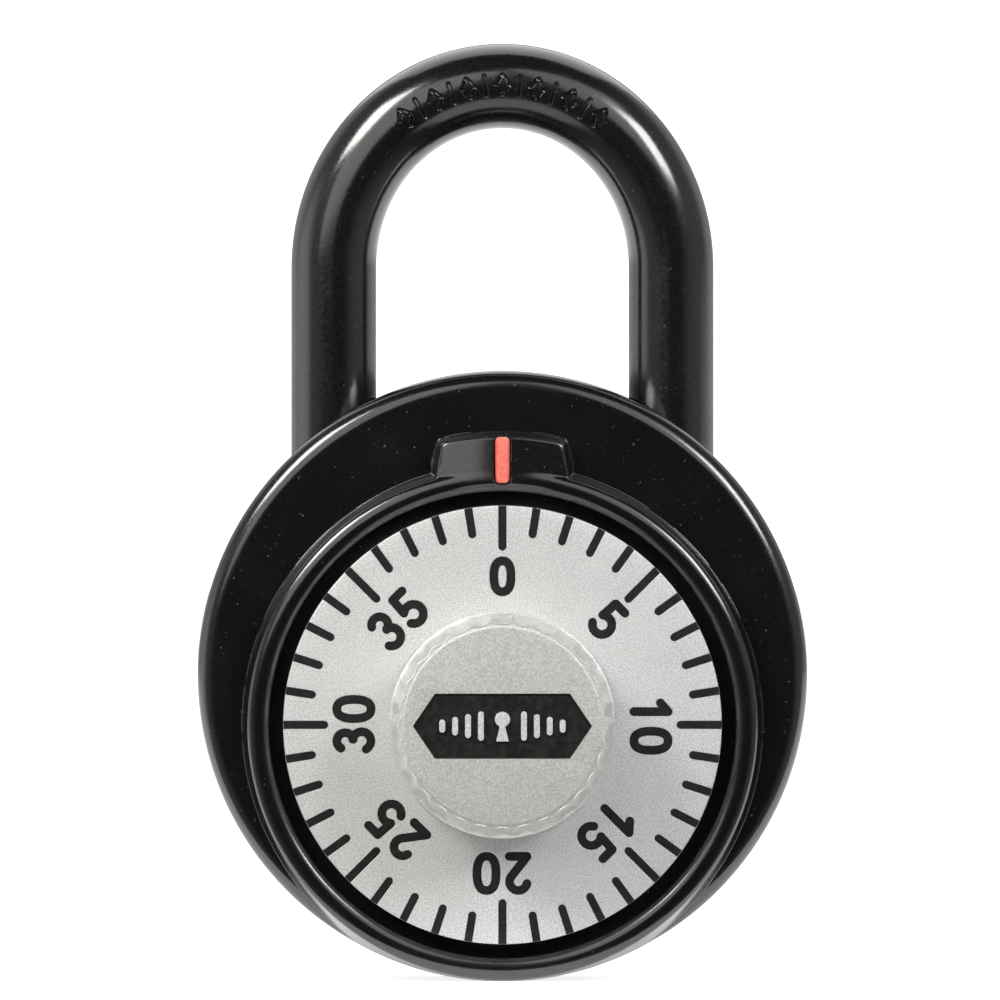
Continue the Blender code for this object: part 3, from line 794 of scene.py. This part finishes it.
def make_knob(finish):
    """The fluted grip on a plain foot ring, with a chamfered top and the badge's recess."""
    steps = 12
    columns = [math.tau * i / (KNOB_FLUTES * steps) for i in range(KNOB_FLUTES * steps)]
    foot, top = PLATE_LOW.y - 0.02, KNOB_LOW.y
    chamfer = 0.14

    def plain(radius, height):
        return [(radius * math.cos(a), height, radius * math.sin(a)) for a in columns]

    def fluted(radius, depth):
        return [radius - depth * (0.5 - 0.5 * math.cos(KNOB_FLUTES * a)) ** 0.85 for a in columns]

    def at_height(radii, height):
        return [(r * math.cos(a), height, r * math.sin(a)) for r, a in zip(radii, columns)]

    foot_ring = ((0.1, 0.0), (0.0, 0.08), (0.0, 0.45), (0.05, 0.56), (0.15, 0.62))
    rows = [plain(KNOB_RADIUS - inset, foot - up) for inset, up in foot_ring]
    sides = [(9.14, 0.06, 0.66), (9.1, 0.14, 0.8)]
    sides += [(9.04, FLUTE_DEPTH, 1.2), (8.88, FLUTE_DEPTH, 3.2), (8.74, FLUTE_DEPTH, 5.4)]
    for radius, depth, up in sides:
        rows.append(at_height(fluted(radius, depth), foot - up))
    rim = fluted(8.6, FLUTE_DEPTH)
    for inset, drop in ((0.0, 0.16), (0.025, 0.05), (0.1, 0.0)):
        reach = [r - inset for r in rim]
        rows.append([
            (r * math.cos(a), top + (r - KNOB_TOP_RADIUS) * chamfer + drop, r * math.sin(a))
            for r, a in zip(reach, columns)
        ])
    rows += [plain(KNOB_TOP_RADIUS + 0.12, top + 0.06), plain(KNOB_TOP_RADIUS, top + 0.01)]
    rows.append(plain(KNOB_TOP_RADIUS - 0.12, top))
    knob = new_object("dial_grip", grid(rows, caps=True), DIAL_CENTRE, [finish], KNOB_SHARP_ANGLE)
    carve(knob, prism(inlay_outline(0), top - 1, top + BADGE_RECESS), sharp=KNOB_SHARP_ANGLE)
    adopt(knob, "dial", "knob_silver", "dial_knob")


def emblem_outlines():
    """A keyhole between rows of upright bars: no letters."""
    head, neck, skirt, foot = 0.62, 0.24, 0.52, -1.25
    opening = 26
    keyhole = arc((0, 0.55), head, opening - 90, 270 - opening, 20)
    keyhole += [(-neck, -0.1), (-skirt, foot), (skirt, foot), (neck, -0.1)]
    outlines = [keyhole]
    for side in (-1, 1):
        for bar in range(4):
            x, half, reach = side * (1.75 + 1.05 * bar), 0.24, 1.2 - 0.22 * bar
            upper = arc((x, reach - half), half, 0, 180, 8)
            outlines.append(upper + arc((x, half - reach), half, 180, 360, 8))
    return outlines


def make_inlay(finish):
    """The badge in the knob: a dark plate with raised bright marks."""
    low, _ = box_of("knob_inlay")
    face, back = low.y + 0.12, KNOB_LOW.y + BADGE_RECESS
    rows = [(0.03, back), (0.03, face + 0.03), (0.06, face)]
    plate = grid([[(x, y, z) for x, z in inlay_outline(inset)] for inset, y in rows], caps=True)
    black_faces = len(plate.faces)
    whole = merged([plate] + [prism(outline, face - 0.25, face + 0.05) for outline in emblem_outlines()])
    whole.faces.ensure_lookup_table()
    for face_of_mark in whole.faces[black_faces:]:
        face_of_mark.material_index = 1
    badge = new_object("knob_badge", whole, DIAL_CENTRE, [inlay_black(), finish])
    modifier = badge.modifiers.new("edges", "BEVEL")
    modifier.width = 0.04 * MM
    modifier.segments = 2
    modifier.limit_method = "ANGLE"
    adopt(badge, "dial", "inlay_black", "knob_inlay")


# --------------------------------------------------------------------- shackle


def bow_place(angle):
    """The bar's centre and outward direction at an angle round the bow, in X and Z."""
    centre = Vector((LEG_OFFSET * math.cos(angle), BOW_BASE + BOW_RISE * math.sin(angle)))
    outward = Vector((math.cos(angle) / LEG_OFFSET, math.sin(angle) / BOW_RISE)).normalized()
    return centre, outward


def stamp_strokes():
    """Generic stamped marks round the crown: lozenges and bars by turns, as strokes along the bar."""
    strokes = []
    marks, half, half_width = 13, 0.85, 0.58
    first, last = 125, 55
    for i in range(marks):
        centre, out = bow_place(math.radians(first + (last - first) * i / (marks - 1)))
        along = Vector((out.y, -out.x))
        if i % 2:
            strokes.append([centre - out * half, centre + out * half])
            continue
        corners = [centre + out * half, centre + along * half_width]
        corners += [centre - out * half, centre - along * half_width]
        strokes += [[corners[k], corners[(k + 1) % 4]] for k in range(4)]
    return strokes


def make_shackle():
    """The bent bar with its latch notch, its ring groove and the stamped marks on the crown."""
    sides, bow_steps = 72, 120
    heel_end = SHACKLE_LOW.z
    toe_end = heel_end + 17.3

    def ring(centre, outward, radius):
        points = circle(radius, sides)
        return [(centre[0] + outward[0] * u, v, centre[1] + outward[1] * u) for u, v in points]

    rows = []
    for radius, up in ((2.7, 0.0), (3.0, 0.06), (3.32, 0.32), (BAR_RADIUS, 0.6), (BAR_RADIUS, 6.0)):
        rows.append(ring((LEG_OFFSET, heel_end + up), (1, 0), radius))
    straight = BOW_BASE - heel_end
    rows += [ring((LEG_OFFSET, heel_end + straight * s), (1, 0), BAR_RADIUS) for s in (0.3, 0.5, 0.7, 0.9)]
    rows += [ring(*bow_place(math.pi * i / bow_steps), BAR_RADIUS) for i in range(bow_steps + 1)]
    straight = BOW_BASE - toe_end
    rows += [ring((-LEG_OFFSET, toe_end + straight * s), (-1, 0), BAR_RADIUS) for s in (0.85, 0.6, 0.35)]
    for radius, up in ((BAR_RADIUS, 1.3), (3.2, 0.8), (2.7, 0.3), (2.3, 0.06), (2.0, 0.0)):
        rows.append(ring((-LEG_OFFSET, toe_end + up), (-1, 0), radius))
    shackle = new_object("shackle_bar", grid(rows, caps=True), (0, 0, 0), [shackle_black()], SHARP_ANGLE)

    mouth, floor = -9.5, -12.2
    low, high = toe_end - 0.6, toe_end + 7.3
    notch = [(mouth, low), (floor, low + 5.4), (floor, high), (mouth, high)]
    carve(shackle, prism(notch, -5, 5), sharp=SHARP_ANGLE)
    clip_low, clip_high = box_of("heel_clip")
    floor, outside = 2.7, 5.0
    low, high = clip_low.z - 0.2, clip_high.z + 0.2
    groove = [(floor, low), (outside, low), (outside, high), (floor, high)]
    cutter = grid([[(LEG_OFFSET + u, v, z) for u, v in circle(r, 64)] for r, z in groove], loop=True)
    carve(shackle, cutter, sharp=SHARP_ANGLE)
    tubes = [tube(bent_to_bar(stroke), 0.25, sides=10, cap_rings=3) for stroke in stamp_strokes()]
    carve(shackle, merged(tubes), own_overlaps=True, sharp=SHARP_ANGLE)
    adopt(shackle, "shackle", "shackle_black", "shackle")


def bent_to_bar(stroke):
    """Points along a stroke's length, laid on the round face of the bar."""
    start, end = stroke
    steps, lift = 6, 0.04
    points = []
    for i in range(steps + 1):
        x, z = start.lerp(end, i / steps)
        centre, _ = bow_place(math.atan2((z - BOW_BASE) / BOW_RISE, x / LEG_OFFSET))
        off = math.hypot(x - centre.x, z - centre.y)
        points.append((x, -math.sqrt(max(BAR_RADIUS**2 - off**2, 0.1)) - lift, z))
    return points


# -------------------------------------------------------------- springs, inside


def make_springs(material):
    """The two springs that a joint presses, as fine round wire coiled within each spring's box."""
    low, high = box_of("shackle_spring")
    wire = 0.35
    reach = (high.x - low.x) / 2 - wire
    path = helix(reach, low.z + wire, high.z - wire, 4.5)
    middle = Vector(((low.x + high.x) / 2, (low.y + high.y) / 2, 0))
    spring = new_object("shackle_lift_spring", tube(path, wire, 12), middle, [material])
    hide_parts("shackle_spring")
    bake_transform(spring)

    low, high = box_of("latch_spring")
    wire = 0.16
    reach = (high.z - low.z) / 2 - wire
    coil = helix(reach, low.x + wire, high.x - wire, 6, 20)
    path = [(along, across, up) for across, up, along in coil]
    middle = Vector((0, (low.y + high.y) / 2, (low.z + high.z) / 2))
    spring = new_object("latch_push_spring", tube(path, wire, 10), middle, [material])
    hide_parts("latch_spring")
    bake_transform(spring)


def finish_kept_nodes(wire):
    """Procedural finishes for the CAD nodes that stay as they are, listed by node name."""
    brass = turned_metal("turned_brass", (0.72, 0.52, 0.23), 0.26, 0.42)
    steel = turned_metal("turned_steel", (0.56, 0.56, 0.57), 0.24, 0.4)
    finishes = {
        zinc(): ["inner_case", "locking_lever"],
        brass: ["spindle_bush", "wheel_2", "wheel_1"],
        steel: ["spindle", "drive_cam", "wheel_post", "wheel_spacer", "lever_pivot", "latch_bolt"],
        wire: ["spindle_clip", "post_clip", "pivot_clip", "heel_clip", "wave_spring", "lever_spring"],
    }
    for material, names in finishes.items():
        for name in names:
            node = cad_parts[name]
            node.data.materials.clear()
            node.data.materials.append(material)


# ----------------------------------------------------------------------- stage


def make_floor():
    """A pale floor under the lowest point of the case, ending soon in front so that it isn't mirrored."""
    side, front, back, thick = 6000, -16, 6000, 2
    outline = [(-side, front), (side, front), (side, back), (-side, back)]
    shape = grid([[(x, y, z) for x, y in outline] for z in (-thick, 0)], caps=True)
    finish = Finish("studio_floor", Roughness=0.9, Emission_Color=(1, 1, 1, 1), Emission_Strength=0.8)
    finish.colour(finish.blend(finish.noise(40, 3, 0.5), (0.86, 0.86, 0.86), (0.89, 0.89, 0.89)))
    floor = new_object("studio_floor", shape, (0, 0, CASE_LOW.z), [finish.material])


def make_world():
    """A white room behind the padlock and a dark one in front of it, so that the enamel stays black."""
    world = bpy.data.worlds.new("studio")
    bpy.context.scene.world = world
    world.use_nodes = True
    nodes, links = world.node_tree.nodes, world.node_tree.links
    background = nodes["Background"]

    def node(kind, values, **settings):
        made = nodes.new("ShaderNode" + kind)
        for name, value in settings.items():
            setattr(made, name, value)
        for socket, value in values.items():
            if isinstance(value, bpy.types.NodeSocket):
                links.new(value, made.inputs[socket])
            else:
                made.inputs[socket].default_value = value
        return made.outputs[0]

    direction = nodes.new("ShaderNodeTexCoord").outputs["Generated"]
    parts = nodes.new("ShaderNodeSeparateXYZ")
    links.new(direction, parts.inputs[0])
    x, y = parts.outputs[0], parts.outputs[1]

    def ramp(value, start, end, brightness):
        values = {0: value, 1: start, 2: end, 3: 0.0, 4: brightness}
        return node("MapRange", values, interpolation_type="SMOOTHSTEP")

    light = ramp(y, 0.15, 0.6, WORLD_BEHIND)
    left = ramp(x, -0.3, -0.95, WORLD_LEFT)
    far_left = ramp(x, -0.88, -1.0, WORLD_FAR_LEFT)
    right = ramp(x, 0.4, 1.0, WORLD_RIGHT)
    for side in (left, far_left, right):
        light = node("Math", {0: light, 1: side}, operation="ADD")
    light = node("Math", {0: light, 1: WORLD_FRONT}, operation="ADD")
    seen = nodes.new("ShaderNodeLightPath").outputs["Is Camera Ray"]
    shown = node("Math", {0: seen, 1: WORLD_SEEN}, operation="MULTIPLY")
    light = node("Math", {0: light, 1: shown}, operation="MAXIMUM")
    links.new(light, background.inputs["Strength"])
    background.inputs["Color"].default_value = (1, 1, 1, 1)


def add_softbox(name, off_axis, clock, size, brightness, colour, distance=1.3):
    """A soft square light, placed by its angle off the dial's axis and its angle round it from +X."""
    target = DIAL_CENTRE * MM
    tilt, turn = math.radians(off_axis), math.radians(clock)
    towards = Vector((math.sin(tilt) * math.cos(turn), -math.cos(tilt), math.sin(tilt) * math.sin(turn)))
    light = bpy.data.lights.new(name, "AREA")
    light.shape = "RECTANGLE"
    light.size, light.size_y = size
    light.energy = brightness * math.pi * size[0] * size[1]
    light.color = colour
    made = bpy.data.objects.new(name, light)
    made.location = target + towards * distance
    made.rotation_mode = "QUATERNION"
    made.rotation_quaternion = (-towards).to_track_quat("-Z", "Y")
    made.visible_camera = False
    bpy.context.scene.collection.objects.link(made)


def make_lights():
    """Two keys that draw the bar's highlights, fills for the plate, and a light behind for the floor."""
    add_softbox("key_right", 54, 39, (0.42, 0.4), 12.5, (0.95, 0.97, 1.0))
    add_softbox("key_left", 60, 133, (0.46, 0.46), 15, (1.0, 0.99, 0.96))
    add_softbox("fill_left", 38, 126, (0.21, 0.21), 1.65, (1.0, 0.98, 0.93), 0.31)
    add_softbox("fill_right", 44, 55, (0.9, 0.8), 1.3, (1.0, 1.0, 1.0))
    add_softbox("fill_low", 46, 270, (1.2, 0.6), 1.1, (1.0, 0.99, 0.97))
    add_softbox("top_back", 125, 90, (2.4, 2.4), 1.5, (1.0, 1.0, 1.0), 2.2)


def make_camera():
    """A long lens square to the dial, level with the middle of the padlock."""
    data = bpy.data.cameras.new("camera")
    distance, width = 1.4, 82.4 * MM
    sideways, height = -0.2 * MM, -30.6 * MM
    data.sensor_width = 36
    data.lens = data.sensor_width * distance / width
    data.clip_end = 50
    camera = bpy.data.objects.new("camera", data)
    camera.location = (sideways, -distance, height)
    camera.rotation_euler = (math.pi / 2, 0, 0)
    bpy.context.scene.collection.objects.link(camera)
    bpy.context.scene.camera = camera


def main():
    plate_silver = silver("dial_satin", (0.9, 0.9, 0.895), 0.61)
    knob_silver = silver("knob_satin", (0.82, 0.815, 0.79), 0.57)
    wire = spring_wire()
    make_front_case()
    make_index_mark()
    make_back_cover()
    make_dial_plate(plate_silver)
    make_knob(knob_silver)
    make_inlay(plate_silver)
    make_shackle()
    make_springs(wire)
    finish_kept_nodes(wire)
    make_floor()
    make_world()
    make_lights()
    make_camera()
    bpy.context.scene.view_settings.view_transform = "Standard"


main()
